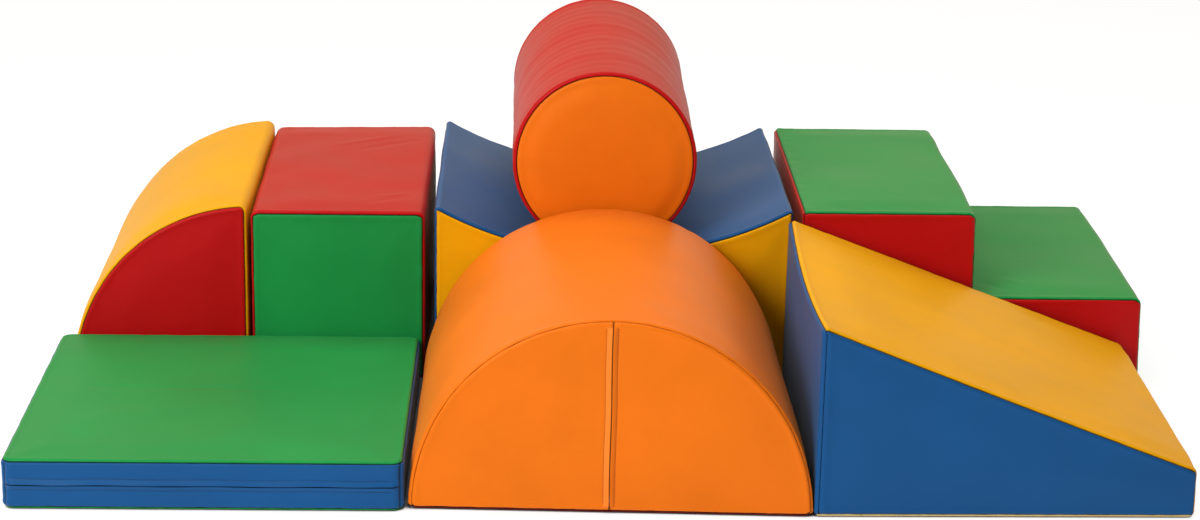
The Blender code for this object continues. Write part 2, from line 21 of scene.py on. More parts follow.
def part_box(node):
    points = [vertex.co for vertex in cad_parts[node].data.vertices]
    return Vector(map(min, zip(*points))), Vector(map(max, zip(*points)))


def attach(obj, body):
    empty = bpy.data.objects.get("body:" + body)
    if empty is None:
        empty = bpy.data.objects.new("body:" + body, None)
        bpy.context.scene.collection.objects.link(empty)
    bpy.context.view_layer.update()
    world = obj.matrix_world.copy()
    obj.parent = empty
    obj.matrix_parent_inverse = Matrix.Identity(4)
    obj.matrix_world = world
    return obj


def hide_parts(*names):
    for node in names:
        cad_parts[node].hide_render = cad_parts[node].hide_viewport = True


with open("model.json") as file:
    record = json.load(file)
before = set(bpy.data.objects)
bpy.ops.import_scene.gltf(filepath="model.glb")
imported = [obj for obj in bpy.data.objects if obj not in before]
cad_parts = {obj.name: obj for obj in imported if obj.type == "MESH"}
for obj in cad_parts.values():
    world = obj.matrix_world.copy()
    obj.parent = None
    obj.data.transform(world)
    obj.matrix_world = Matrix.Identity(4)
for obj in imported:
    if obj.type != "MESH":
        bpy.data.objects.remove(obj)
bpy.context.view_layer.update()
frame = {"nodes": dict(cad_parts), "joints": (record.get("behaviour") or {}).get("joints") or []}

# Cover and foam
sheet_thickness = 0.0015
packed_crown = 0.003
crown_height = 0.0035
crown_run = 0.075
zip_face_crown = crown_height * 0.5
zip_band_crown = crown_height * 0.3
back_crown = crown_height * 0.4
corner_dip_share = 0.45
corner_dip_run = 0.035
foam_inset = 0.005

# Edges
roll_radius = 0.008
seam_radius = 0.008
wrap_radius = 0.014
shoulder_radius = 0.006
mat_corner_radius = 0.018
half_round_foot_radius = 0.012

# Seams
seam_gap = 0.0005
dive_depths = (0.0040, 0.0022, 0.0009)
seam_pull = 0.0015
seam_pull_run = 0.0016
bead_height = 0.0006
bead_place = 0.0065
bead_width = 0.0035
pucker_height = 0.00035
pucker_run = 0.014
pucker_lengths = (0.012, 0.045)
pucker_waves = 12
wave_height = 0.0008
wave_lengths = (0.11, 0.42)

# Zips: the upper or left lip is the wide one
wide_lip = (0.0040, 0.0095)
narrow_lip = (0.0036, 0.0084)
lip_powers = (1.1, 1.6)
lip_end_run = 0.010
lip_seam_run = 0.010
lip_edge_radius = 0.0013
lip_swing_share = 0.12
lip_swing_length = 0.11
lip_overrun = 0.006
mat_lip_overrun = 0.010
half_round_lip_overrun = 0.020
slit_half_gap = 0.00015
slit_drop = 0.0022
back_slit_drop = 0.0010
back_zip_rise = 0.0009
zip_rise_run = (0.010, 0.030)
slit_wander = 0.0004
slit_wander_length = 0.16
slit_wander_run = (0.012, 0.030)
slit_end_run = 0.05
# The painted shade in a zip's slit, and the painted highlight on its wide lip
slit_shade_spread = (1.4, 2.6)
slit_shade = 0.0014
lip_glow = 2.0
lip_glow_start = 0.0012
half_round_zip_shift = 0.0014
half_round_zip_lean = -0.0012
mat_zip_seed = 2.0
zip_offsets = (0.00015, 0.00021, 0.0004, 0.0007, 0.0011, 0.0016, 0.0024, 0.0035, 0.0048, 0.0060,
               0.0070, 0.0078, 0.0084, 0.0089, 0.0094, 0.0099, 0.0106, 0.0116, 0.0132)
zip_step = 0.004
stitch_groove = 0.0005
stitch_groove_width = 0.0008
stitch_length = 0.0022
stitch_spacing = 0.0044
stitch_radius = 0.0007
stitch_sides = 6
# Rings along a stitch: place, lift and width, as shares of its length and its radius
stitch_rings = ((-0.50, -0.8, 0.35), (-0.36, -0.1, 0.85), (0.0, 0.15, 1.0), (0.36, -0.1, 0.85),
                (0.50, -0.8, 0.35))
stitch_seam_gap = 0.011
mat_stitch_margin = 0.004

# Spacing of the meshes' points
coarse_step = 0.008
field_gap = coarse_step * 0.6
zip_gap = coarse_step * 0.4
row_slack = 0.02
near_steps = (0.0015, 0.0035, 0.006, 0.009, 0.013, 0.018, 0.024, 0.031)
corner_step = math.radians(9)
roll_steps = 7
roller_segments = 120
# How many points are measured against an outline at once
point_block = 2000

# Modules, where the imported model's boxes don't give the size
ramp_low_height = 0.078
cradle_height = 0.310
cradle_dip = 0.080
high_step_width = 0.299
low_step_height = 0.155

# How an edge of an outline runs: its share of the crown, the radius of the corner after it, and
# whether a seam lies there
wrapped = (1.0, wrap_radius, False)
seamed = (1.0, seam_radius, True)
standing = (0.0, seam_radius, True)
creased = (1.0, 0.0, False)
mat_kinds = ((1.0, mat_corner_radius, False), (1.0, mat_corner_radius, False),
             (0.9, mat_corner_radius, True), (0.6, mat_corner_radius, True))
half_round_kinds = ((1.0, half_round_foot_radius, True), (0.0, half_round_foot_radius, True))
cradle_kinds = ((1.0, shoulder_radius, False), (0.0, shoulder_radius, False), seamed, standing)

# Where each module's seams lie on its rolled edges, in degrees from the wrapped panels: along its
# top, left side, right side and bottom
seam_angles = {"floor_mat": (36, 36, 36, 36), "half_round": (40, 64, 45, 60),
               "ramp": (50, 80, 22, 64), "quarter_round": (42, 62, 55, 55),
               "block": (70, 48, 48, 50), "cradle": (60, 38, 38, 50),
               "stairs": (46, 30, 24, 50), "roller": (78, 78, 78, 78)}
# Which of those seams join two panels of one colour, so that they hardly show: they get less of the seams'
# painted shade
pale_seams = {"half_round": (1.0, 1.0, 1.0, 0.0), "ramp": (0.0, 2.0, 0.0, 0.0)}
pale_gap = 0.0010
# Between which directions one side's value passes into the next one's
side_blend = (-0.4, 0.4)
rise_blend = (0.3, 0.8)
# Roller: crowns of its panels, waves round its barrel (length, number of bends and start) and its rim
crown_runs = {"roller": 0.040}
barrel_crown = 0.0004
front_disc_crown = 0.0065
back_disc_crown = 0.001
hoop_waves = ((0.061, 2, 0.0), (0.038, 3, 1.9), (0.095, 1, 4.0))
hoop_height = 0.00028
hoop_bend = 1.3
hoop_fade = 0.4
hoop_front_run = (0.02, 0.08)
hoop_back_run = (0.01, 0.05)
rim_height = 0.0016
rim_place = 0.009
rim_width = 0.0055
# Ramp: bow of its tall end
bow_depth = 0.0100
bow_power = 0.78
bow_rise = (0.04, 0.30)
bow_run = 0.11
# Quarter-round: how far its curve sinks in, and how far its toe draws back
slump_depth = 0.003
slump_shift = 0.004
# Folds and dimples: start, end, height and width
folds = {
    "block": (((-0.36, 0.53, 0.30), (-0.50, 0.44, 0.30), 0.0018, 0.007),
              ((-0.33, 0.49, 0.30), (-0.45, 0.41, 0.30), -0.0015, 0.006),
              ((-0.33, 0.13, 0.30), (-0.40, 0.10, 0.30), 0.0015, 0.005),
              ((-0.34, 0.10, 0.30), (-0.42, 0.06, 0.30), -0.0013, 0.005)),
    "floor_mat": (((-0.88, -0.28, 0.08), (-0.46, -0.29, 0.08), -0.0014, 0.008),
                  ((-0.86, -0.44, 0.08), (-0.60, -0.36, 0.08), 0.0012, 0.030)),
    "stairs": (((0.66, 0.10, 0.155), (0.70, 0.05, 0.155), -0.0020, 0.008),
               ((0.69, 0.12, 0.155), (0.74, 0.08, 0.155), 0.0014, 0.008)),
}
# How the covers lean out of true: which end of the width, depth and height moves (None for all of
# it), and how far
leans = {
    "floor_mat": (((None, 1, None), (0.003, 0.0, 0.0)),),
    "half_round": (((0, 0, None), (0.0, 0.012, 0.0)), ((1, 0, None), (0.0, -0.012, 0.0)),
                   ((1, 1, 0), (-0.016, 0.0, 0.0)), ((0, 1, 0), (0.008, 0.0, 0.0)),
                   ((None, 1, 1), (0.0, 0.0, 0.0018))),
    "ramp": (((0, 0, None), (0.0, -0.011, 0.0)), ((1, 0, None), (-0.002, -0.004, 0.0)),
             ((0, 0, 1), (-0.003, 0.0, 0.010)), ((0, None, 0), (-0.006, 0.0, 0.0)),
             ((0, 1, 1), (-0.003, 0.0, 0.0)), ((1, 1, None), (-0.002, 0.0, -0.002))),
    "block": (((0, 1, 1), (-0.004, 0.0, -0.004)),),
    "cradle": (((0, 1, None), (0.004, 0.0, 0.0)), ((1, 1, None), (-0.004, 0.0, 0.0)),
               ((0, 1, 1), (0.0, 0.0, 0.003)), ((1, 1, 1), (0.0, 0.0, -0.004)),
               ((1, 0, 1), (0.005, 0.0, 0.0))),
    "stairs": (((0, 1, None), (-0.004, 0.0, 0.0)), ((1, None, 1), (-0.006, 0.0, 0.0)),
               ((0, 1, 1), (0.0, 0.0, -0.0035)), ((1, 1, 1), (-0.002, 0.0, -0.004))),
}

half_turn = math.pi
quarter_turn = math.pi / 2.0
quarter_share = 1.0 - math.sqrt(0.5)

Sample = namedtuple("Sample", "corner miter radius out lift dive wrap")
Edge = namedtuple("Edge", "start end centre lift radius seam")
Place = namedtuple("Place", "side along gap lean")
ZipLine = namedtuple("ZipLine", "centre along half_length half_slit split lean drop rise")


def smooth(value, low, high):
    """0 up to low, 1 from high on, and a smooth step between them."""
    share = np.clip((value - low) / (high - low), 0.0, 1.0)
    return share * share * (3.0 - 2.0 * share)


def waves(points, seed, lengths, count=9):
    """A sum of plane waves in random directions, about one unit high."""
    random = np.random.default_rng(seed)
    total = np.zeros(points.shape[:-1])
    for index in range(count):
        direction = random.normal(size=3)
        direction /= np.linalg.norm(direction)
        length = random.uniform(*lengths)
        phase = random.uniform(0.0, math.tau)
        total += np.sin(points @ direction * math.tau / length + phase)
    return total / math.sqrt(count)


def bead(gap):
    """The groove at a seam, and the ridge that its folded allowance raises beside it."""
    groove = seam_pull * np.exp(-(np.maximum(gap, 0.0) / seam_pull_run) ** 2)
    return bead_height * np.exp(-((gap - bead_place) / bead_width) ** 2) - groove


def fold(points, start, end, height, width):
    """A soft ridge along a line, or a hollow, which dies out at both ends."""
    step = np.array(end) - start
    share = np.clip((points - start) @ step / (step @ step), 0.0, 1.0)
    away = np.linalg.norm(points - start - share[..., None] * step, axis=-1)
    return height * np.exp(-(away / width) ** 2) * np.sin(share * half_turn)


def flat(x, y):
    """A point of an outline."""
    return np.array((x, y), float)


def outward(direction):
    """What lies to the left of a direction: outside, on a clockwise outline."""
    return flat(-direction[1], direction[0])


def closed_edges(corners, kinds, round_edge=None, centre=None):
    """The edges of a clockwise outline, of which one may be round about a centre."""
    starts = [flat(*corner) for corner in corners]
    ends = starts[1:] + starts[:1]
    return [Edge(start, end, centre if index == round_edge else None, *kind)
            for index, (start, end, kind) in enumerate(zip(starts, ends, kinds))]


def span_angles(edge):
    """The angles of a round edge's two ends, seen from its centre."""
    first = edge.start - edge.centre
    last = edge.end - edge.centre
    return math.atan2(first[1], first[0]), math.atan2(last[1], last[0])


def edge_length(edge):
    """The length of an edge."""
    if edge.centre is None:
        return np.linalg.norm(edge.end - edge.start)
    first, last = span_angles(edge)
    return abs(last - first) * np.linalg.norm(edge.start - edge.centre)


def edge_point(edge, along):
    """The point and the outward normal at a distance along an edge."""
    if edge.centre is None:
        direction = (edge.end - edge.start) / np.linalg.norm(edge.end - edge.start)
        return edge.start + direction * along, outward(direction)
    first, last = span_angles(edge)
    angle = first + (last - first) * along / edge_length(edge)
    around = flat(math.cos(angle), math.sin(angle))
    reach = np.linalg.norm(edge.start - edge.centre)
    return edge.centre + around * reach, around if last < first else -around


def graded(start, end):
    """Places between two ends, closer together near them."""
    middle = (start + end) / 2.0
    near = [step for step in near_steps if start + step < middle - coarse_step / 2.0]
    low = [start + step for step in near]
    high = [end - step for step in reversed(near)]
    first = low[-1] if low else start
    last = high[0] if high else end
    count = max(1, round((last - first) / coarse_step))
    return low + [first + (last - first) * index / count for index in range(1, count)] + high


def corner_normals(edge, following):
    """The outward normals before and after the corner that ends an edge, and the turn between."""
    before = edge_point(edge, edge_length(edge))[1]
    after = edge_point(following, 0.0)[1]
    return before, after, math.acos(max(-1.0, min(1.0, float(before @ after))))


def corner_cut(edge, following):
    """How far the rounding of the corner after an edge reaches along it."""
    return edge.radius * math.tan(corner_normals(edge, following)[2] / 2.0)


def corner_samples(edge, following, start_share, end_share):
    """Points round the corner after an edge, from one share of its turn to another."""
    before, after, turn = corner_normals(edge, following)
    miter = (before + after) / (1.0 + before @ after)
    lift = 0.0 if edge.seam else min(edge.lift, following.lift)
    sample = Sample(edge.end, miter, edge.radius, miter, lift, 0.0, not edge.seam)
    if edge.radius == 0.0:
        return [sample]
    first = math.atan2(before[1], before[0])
    count = max(2, round(turn * abs(end_share - start_share) / corner_step))
    angles = first - turn * (start_share + (end_share - start_share) * np.arange(count + 1) / count)
    return [sample._replace(out=flat(math.cos(angle), math.sin(angle))) for angle in angles]


def dived(sample, depths):
    """Copies of a sample that go down into a seam."""
    return [sample._replace(dive=depth) for depth in depths]


class Outline:
    """Samples of an outline as arrays, with each one's distance to the nearest seam and corner."""

    def __init__(self, samples, closed):
        for field in Sample._fields:
            setattr(self, field, np.array([getattr(sample, field) for sample in samples]))
        self.closed = closed
        steps = np.linalg.norm(np.diff(self.row(0.0), axis=0), axis=1)
        self.place = np.concatenate(([0.0], np.cumsum(steps)))
        self.gap = np.ones(len(samples))
        self.corner_gap = np.ones(len(samples))
        if not closed:
            self.gap = np.minimum(self.place, self.place[-1] - self.place) - self.dive
        if self.wrap.any():
            self.corner_gap = np.abs(self.place[:, None] - self.place[self.wrap][None]).min(axis=1)

    def inset(self, depth):
        """Points moved into the module by depth, an array of one row for each sample."""
        radius = self.radius[:, None, None]
        deep = depth[..., None]
        base = self.corner[:, None, :] - self.miter[:, None, :] * np.maximum(radius, deep)
        return base + self.out[:, None, :] * np.maximum(radius - deep, 0.0)

    def row(self, depth):
        """The outline moved into the module by one depth."""
        return self.inset(np.full((len(self.corner), 1), depth))[:, 0]


def trace(edges):
    """Walks a closed, clockwise outline: the run of each wrapped panel, and the whole ring."""
    spans = []
    ring = []
    current = []
    for index, edge in enumerate(edges):
        following = edges[(index + 1) % len(edges)]
        start = corner_cut(edges[index - 1], edge)
        end = edge_length(edge) - corner_cut(edge, following)
        inner = []
        for along in graded(start, end):
            point, normal = edge_point(edge, along)
            inner.append(Sample(point, normal, 0.0, normal, edge.lift, 0.0, False))
        around = corner_samples(edge, following, 0.0, 1.0)
        current.extend(inner)
        ring.extend(inner + around)
        if not edge.seam:
            current.extend(around)
            continue
        first_half = corner_samples(edge, following, 0.0, 0.5)
        second_half = corner_samples(edge, following, 0.5, 1.0)
        spans.append(current + first_half + dived(first_half[-1], dive_depths[::-1]))
        current = dived(second_half[0], dive_depths) + second_half
    spans[0] = current + spans[0]
    return [Outline(span, False) for span in spans], Outline(ring, True)


def circle(radius, count):
    """An outline that goes right round."""
    samples = []
    for index in range(count):
        angle = -math.tau * index / count
        out = flat(math.cos(angle), math.sin(angle))
        samples.append(Sample(out * radius, out, 0.0, out, 1.0, 0.0, False))
    return Outline(samples, True)


def rolled_rows(seam, end_angle):
    """Rows from inside a seam to the end of the roll, for each seam angle in a list."""
    seam = seam[:, None]
    apart = math.copysign(seam_gap / 2.0, end_angle - seam[0, 0])
    depths = np.array((*dive_depths, 0.0))
    angle = seam + (end_angle - seam) * (np.arange(roll_steps) + 1.0) / roll_steps
    side = roll_radius * (1.0 - np.cos(seam)) + apart * np.sin(seam) + depths * np.cos(seam)
    end = roll_radius * (1.0 - np.sin(seam)) - apart * np.cos(seam) + depths * np.sin(seam)
    return Place(np.hstack((side, roll_radius * (1.0 - np.cos(angle)))),
                 np.hstack((end, roll_radius * (1.0 - np.sin(angle)))),
                 np.hstack((np.zeros_like(seam) - depths, roll_radius * np.abs(angle - seam))),
                 np.hstack((np.tile(seam, len(depths)), angle)))


def band_rows(length, seam, extra=()):
    """Where the rows of a band lie, from its front seam to its back one."""
    near = rolled_rows(seam, 0.0)
    inner = np.array(sorted(set(graded(roll_radius, length - roll_radius)) | set(extra)))
    flats = np.zeros((len(seam), len(inner)))
    gap = roll_radius * seam[:, None] + np.minimum(inner, length - inner) - roll_radius
    return Place(np.hstack((near.side, flats, near.side[:, ::-1])),
                 np.hstack((near.along, flats + inner, length - near.along[:, ::-1])),
                 np.hstack((near.gap, gap, near.gap[:, ::-1])),
                 np.hstack((near.lean, flats, -near.lean[:, ::-1])))


def grid_faces(rows, columns, closed):
    """The quads of a grid of points, which closes on itself where its rows go right round."""
    starts = [row * columns for row in range(rows)]
    ends = starts[1:] + starts[:closed]
    return [(low + column, high + column, high + column + 1, low + column + 1)
            for low, high in zip(starts, ends) for column in range(columns - 1)]


def ring_faces(first, second):
    """The faces between two rings of points, of which some may be the same."""
    after = [*range(1, len(first)), 0]
    return [tuple(dict.fromkeys((first[low], first[high], second[high], second[low])))
            for low, high in enumerate(after)]


def add_object(body, label, points, faces, material, node=None):
    """Puts a piece in the scene, riding on its body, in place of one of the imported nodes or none."""
    mesh = bpy.data.meshes.new(f"{body}_{label}")
    mesh.from_pydata(points.tolist(), [], faces)
    mesh.materials.append(material)
    made = bpy.data.objects.new(f"{body}_{label}", mesh)
    bpy.context.scene.collection.objects.link(made)
    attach(made, body)
    if node:
        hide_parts(f"{body}_{node}")
    return made


def add_cover(module, node, slot, points, faces, gap, out):
    """Makes one sheet of vinyl, facing the way that out says for its first face."""
    points[:, 2] = np.maximum(points[:, 2], 0.0)
    corners = [points[index] for index in faces[0][:3]]
    if np.cross(corners[1] - corners[0], corners[2] - corners[0]) @ out < 0.0:
        faces = [face[::-1] for face in faces]
    label = node.removesuffix("_band") + "_cover"
    made = add_object(module.name, label, points, faces, vinyl[slot], node)
    made.data.shade_smooth()
    layer = made.data.attributes.new("seam_gap", "FLOAT", "POINT")
    layer.data.foreach_set("value", gap.astype(np.float32))
    thick = made.modifiers.new("thickness", "SOLIDIFY")
    thick.thickness = sheet_thickness
    thick.offset = -1.0


def along_y(across, along):
    """Places an outline that faces the viewer."""
    return np.stack((across[..., 0], along, across[..., 1]), axis=-1)


def along_z(across, along):
    """Places an outline that lies on the floor."""
    return np.stack((across[..., 0], across[..., 1], along), axis=-1)


def by_side(outline, top, left, right, bottom):
    """A value for each sample of an outline, from the values on its four sides."""
    side = left + (right - left) * smooth(outline.out[:, 0], *side_blend)
    rise = outline.out[:, 1]
    return side + (top - side) * smooth(rise, *rise_blend) + (bottom - side) * smooth(-rise, *rise_blend)


def leaned(points, name, size):
    """How far a module's cover leans out of true."""
    move = np.zeros_like(points)
    for ends, step in leans.get(name, ()):
        weight = np.ones(points.shape[:-1])
        for axis, end in enumerate(ends):
            if end is not None:
                share = points[..., axis] / size[axis]
                weight = weight * (share if end else 1.0 - share)
        move = move + weight[..., None] * step
    return move


class Module:
    """One module: its place, outline and depth, how it is warped, and where its seams lie."""

    def __init__(self, name, origin, edges, length, to_space, size=None, warp=None):
        self.name = name
        self.crown_run = crown_runs.get(name, crown_run)
        self.origin = np.array(origin, float)
        self.spans, self.ring = trace(edges) if edges else ([], None)
        self.length = length
        self.to_space = to_space
        self.size = size
        self.warp = warp

    def place(self, across, along):
        """Points in the model's frame."""
        points = self.to_space(across, along)
        move = leaned(points, self.name, self.size)
        if self.warp:
            move = move + self.warp(points, self.size)
        return points + move + self.origin

    def seam_at(self, outline):
        """The seam's angle at each sample of an outline."""
        return np.radians(by_side(outline, *seam_angles[self.name]))

    def pale_at(self, outline):
        """How much of a seam's painted shade is left out at each sample of an outline."""
        return by_side(outline, *pale_seams.get(self.name, (0.0,) * 4)) * pale_gap

    def face_gaps(self, points):
        """How far points of an end face lie from the seam round it, negative outside the face."""
        over_roll = roll_radius * (quarter_turn - self.seam_at(self.ring))
        return polygon_gap(points, self.ring.row(roll_radius), over_roll)

    def place_on_end(self, across, depth, far_end):
        """Points at some depth below an end face, in the model's frame."""
        return self.place(across, self.length - depth if far_end else depth)

    def end_direction(self, far_end):
        """The way that an end face points."""
        direction = self.to_space(np.zeros(2), np.array(1.0))
        return direction if far_end else -direction


def uneven(module, points, gap, seed):
    """Height of the gathers beside the seams, the waves away from them, and the module's folds."""
    height = wave_height * waves(points, seed, wave_lengths) * smooth(gap, 0.0, module.crown_run)
    gathers = waves(points, seed + 1, pucker_lengths, pucker_waves) * np.exp(-np.abs(gap) / pucker_run)
    height = height + pucker_height * gathers
    for ridge in folds.get(module.name, ()):
        height = height + fold(points, *ridge)
    return height


def band_height(module, outline, rows, points, crown, seed):
    """How far each point of a band stands out."""
    along_gap = rows.gap
    across_gap = outline.gap[:, None]
    run = module.crown_run
    rise = smooth(along_gap, 0.0, run) * smooth(across_gap, 0.0, run)
    dip = 1.0 - corner_dip_share * np.exp(-(outline.corner_gap[:, None] / corner_dip_run) ** 2)
    height = crown * outline.lift[:, None] * rise * dip
    height = height + bead(along_gap) * smooth(across_gap, 0.0, bead_place)
    height = height + bead(across_gap) * smooth(along_gap, 0.0, bead_place)
    height = height + uneven(module, points, np.minimum(along_gap, across_gap), seed)
    return height if crown else np.minimum(height, 0.0)


def add_band(module, outline, node, slot, crown, seed, shape=None, slit=None, half=0.0):
    """One wrapped panel, or the half of it on one side of a slit that runs right along it."""
    extra = () if slit is None else [slit + side * offset for side in (-1.0, 1.0)
                                     for offset in zip_offsets]
    rows = band_rows(module.length, module.seam_at(outline), extra)
    if slit is not None:
        kept = half * (rows.along[0] - slit) >= 0.0
        rows = Place(*(part[:, kept] for part in rows))
    side = rows.side + outline.dive[:, None]
    along = rows.along
    base = module.place(outline.inset(side), along)
    height = band_height(module, outline, rows, base, crown, seed)
    nearest = np.minimum(rows.gap, outline.gap[:, None])
    if shape is not None:
        more, shift = shape(outline, along)
        height = height + more
        along = along + shift
    if slit is not None:
        nearest = mark_slit(nearest, slit_gap(rows.along - slit))
    points = module.place(outline.inset(side - height * np.cos(rows.lean)),
                          along - height * np.sin(rows.lean))
    count = points.shape[1]
    faces = grid_faces(len(outline.place), count, outline.closed)
    faces.insert(0, faces.pop(len(outline.place) // 2 * (count - 1) + count // 2))
    out = module.to_space(outline.out[faces[0][0] // count], np.array(0.0))
    gap = nearest + module.pale_at(outline)[:, None]
    add_cover(module, node, slot, points.reshape(-1, 3), faces, gap.reshape(-1), out)


def polygon_gap(points, polygon, extra=0.0):
    """Each point's distance to a closed polygon, plus what its edges add, negative outside it."""
    if len(points) > point_block:
        blocks = np.array_split(points, len(points) // point_block + 1)
        return np.concatenate([polygon_gap(block, polygon, extra) for block in blocks])
    steps = np.roll(polygon, -1, axis=0) - polygon
    away = points[:, None] - polygon
    share = (away * steps).sum(axis=2) / np.maximum((steps ** 2).sum(axis=1), 1e-18)
    gaps = away - np.clip(share, 0.0, 1.0)[..., None] * steps
    nearest = (np.sqrt((gaps ** 2).sum(axis=2)) + extra).min(axis=1)
    above = away[..., 1] < 0.0
    rises = np.where(np.abs(steps[:, 1]) < 1e-15, 1e-15, steps[:, 1])
    crossing = polygon[:, 0] + away[..., 1] * steps[:, 0] / rises
    crossed = (above != np.roll(above, -1, axis=1)) & (points[:, :1] < crossing)
    return np.where(crossed.sum(axis=1) % 2 == 1, nearest, -nearest)


def zip_places(zip_line, points):
    """Each point's distance across a zip and along it."""
    offset = points - zip_line.centre
    return offset @ outward(zip_line.along), offset @ zip_line.along


def lip_shape(across, along, half_length, seed, drop=slit_drop, rise=0.0):
    """Height of the zip's two folded lips, which rise from their stitches to the slit."""
    away = np.abs(across)
    top = np.where(across >= 0.0, wide_lip[0], narrow_lip[0])
    width = np.where(across >= 0.0, wide_lip[1], narrow_lip[1])
    power = np.where(across >= 0.0, *lip_powers)
    lip = top * (1.0 - np.clip(away / width, 0.0, 1.0) ** power)
    ends = 1.0 - smooth(np.abs(along), half_length - lip_end_run, half_length)
    edge = np.clip((away - slit_half_gap) / lip_edge_radius, 0.0, 1.0)
    rounding = lip_edge_radius * (np.sqrt(np.maximum(1.0 - (1.0 - edge) ** 2, 0.0)) - 1.0)
    dropped = np.where(away <= slit_half_gap + 1e-6, -drop, 0.0)
    groove = -stitch_groove * np.exp(-((away - width) / stitch_groove_width) ** 2)
    swing = np.sin(along * math.tau / lip_swing_length + seed) * np.sign(across)
    raised = rise * (1.0 - smooth(away, *zip_rise_run))
    return ends * (lip * (1.0 + lip_swing_share * swing) + rounding + dropped + groove + raised)


def slit_gap(across):
    """How near a point is to a slit, on the seams' scale, with the slit itself below zero.

    The wide lip, which the light catches, has the glow's own value.
    """
    gap = np.abs(across) * np.where(across >= 0.0, *slit_shade_spread) - slit_shade
    return np.where((across > lip_glow_start) & (across < wide_lip[1]), lip_glow, gap)


def mark_slit(gap, slit):
    """The seams' distances with a slit's own values where it shows."""
    return np.where((slit == lip_glow) & (gap > bead_place), lip_glow, np.minimum(gap, slit))


def slit_shift(across, along, half_length, seed, lean=0.0):
    """How far the slit wanders sideways."""
    near = 1.0 - smooth(np.abs(across), *slit_wander_run)
    ends = 1.0 - smooth(np.abs(along), half_length - slit_end_run, half_length)
    swing = np.sin(along * math.tau / slit_wander_length + seed)
    return (slit_wander * swing * ends + lean * along / half_length) * near


def fill_points(ring, polygon, zip_line):
    """Points inside an end face: rows that follow its edge, an even field, and rows by its zip."""
    chosen = []
    for step in near_steps:
        row = ring.row(roll_radius + step)
        chosen.append(row[np.abs(polygon_gap(row, polygon) - step) < row_slack * step + 1e-5])
    low = polygon.min(axis=0)
    high = polygon.max(axis=0)
    heights = np.arange(low[1], high[1], coarse_step * math.sqrt(0.75))
    field = np.array([(across, height) for index, height in enumerate(heights)
                      for across in np.arange(low[0] + coarse_step / 2.0 * (index % 2), high[0],
                                              coarse_step)])
    chosen.append(field[polygon_gap(field, polygon) > near_steps[-1] + field_gap])
    points = np.concatenate(chosen)
    if zip_line is None:
        return points
    across, along = zip_places(zip_line, points)
    clear = zip_offsets[-1] + zip_gap
    near = (np.abs(across) < clear) & (np.abs(along) < zip_line.half_length + coarse_step)
    reach = zip_line.half_length + coarse_step / 2.0
    count = round(2.0 * reach / zip_step)
    rows = np.array([zip_line.centre + zip_line.along * place + outward(zip_line.along) * sign * offset
                     for place in -reach + 2.0 * reach * np.arange(count + 1) / count
                     for offset in zip_offsets for sign in (-1.0, 1.0)])
    return np.concatenate((points[~near], rows[polygon_gap(rows, polygon) > near_steps[0]]))


def triangulate(polygon, points, zip_line):
    """Triangles inside a polygon, with a slit left open along a zip that doesn't split the face.

    Points of the polygon that share a place become one: the last list says which one each became.
    """
    places = [Vector(point) for point in (*polygon, *points)]
    edges = [(index, (index + 1) % len(polygon)) for index in range(len(polygon))]
    found, _, faces, origins, _, _ = delaunay_2d_cdt(places, edges, [], 1, 1e-6)
    found = np.array([tuple(point) for point in found])
    faces = [tuple(face) for face in faces]
    became = [0] * len(polygon)
    for index, sources in enumerate(origins):
        for source in sources:
            if source < len(polygon):
                became[source] = index
    if zip_line is None or zip_line.split:
        return found, faces, became
    across, along = zip_places(zip_line, np.array([found[list(face)].mean(axis=0) for face in faces]))
    open_slit = (np.abs(across) < slit_half_gap) & (np.abs(along) < zip_line.half_slit)
    return found, [face for face, gone in zip(faces, open_slit) if not gone], became


def face_layers(module, zip_line):
    """An end face as points, and its faces.

    Each point has its place in the outline, its depth below the face, its distance to the seam, the
    way it faces, and how much of the seam's painted shade is left out.
    """
    ring = module.ring
    count = len(ring.place)
    levels = []
    rows = rolled_rows(module.seam_at(ring), quarter_turn)
    for side, along, gap, lean in zip(*(part.T for part in rows)):
        levels.append(np.column_stack((ring.inset(side[:, None])[:, 0], along, gap,
                                       ring.out * np.cos(lean)[:, None], np.sin(lean),
                                       module.pale_at(ring))))
    edge = levels[-1][:, :2]
    found, faces, became = triangulate(edge, fill_points(ring, edge, zip_line), zip_line)
    flats = np.zeros((len(found), 8))
    flats[:, :2] = found
    flats[:, 3] = np.abs(module.face_gaps(found))
    flats[:, 6] = 1.0
    points = np.concatenate(levels[:-1] + [flats])
    offset = count * (len(levels) - 1)
    quads = []
    for low in range(0, offset, count):
        above = range(low + count, low + 2 * count)
        if low + count == offset:
            above = [offset + index for index in became]
        quads.extend(ring_faces(above, range(low, low + count)))
    return points, quads, [tuple(offset + index for index in face) for face in faces]


def split_mesh(points, faces, zip_line, side):
    """Keeps what lies on one side of a zip, with new points along the cut."""
    maker = bmesh.new()
    layers = [maker.verts.layers.float.new(f"value_{index}") for index in range(points.shape[1] - 3)]
    made = []
    for point in points:
        vertex = maker.verts.new(point[:3])
        for layer, value in zip(layers, point[3:]):
            vertex[layer] = value
        made.append(vertex)
    for face in faces:
        maker.faces.new([made[index] for index in face])
    across = outward(zip_line.along) * side
    on_cut = zip_line.centre + across * slit_half_gap
    bmesh.ops.bisect_plane(maker, geom=maker.verts[:] + maker.edges[:] + maker.faces[:],
                           dist=1e-7, plane_co=(*on_cut, 0.0), plane_no=(*across, 0.0),
                           clear_inner=True)
    maker.verts.index_update()
    kept = np.array([(*vertex.co, *(vertex[layer] for layer in layers)) for vertex in maker.verts])
    kept_faces = [tuple(vertex.index for vertex in face.verts) for face in maker.faces]
    maker.free()
    return kept, kept_faces


def face_height(module, points, gaps, crown, seed):
    """How far each point of an end face stands out."""
    height = crown * smooth(gaps, 0.0, module.crown_run) + bead(gaps)
    height = height + uneven(module, points, gaps, seed)
    return height if crown else np.minimum(height, 0.0)


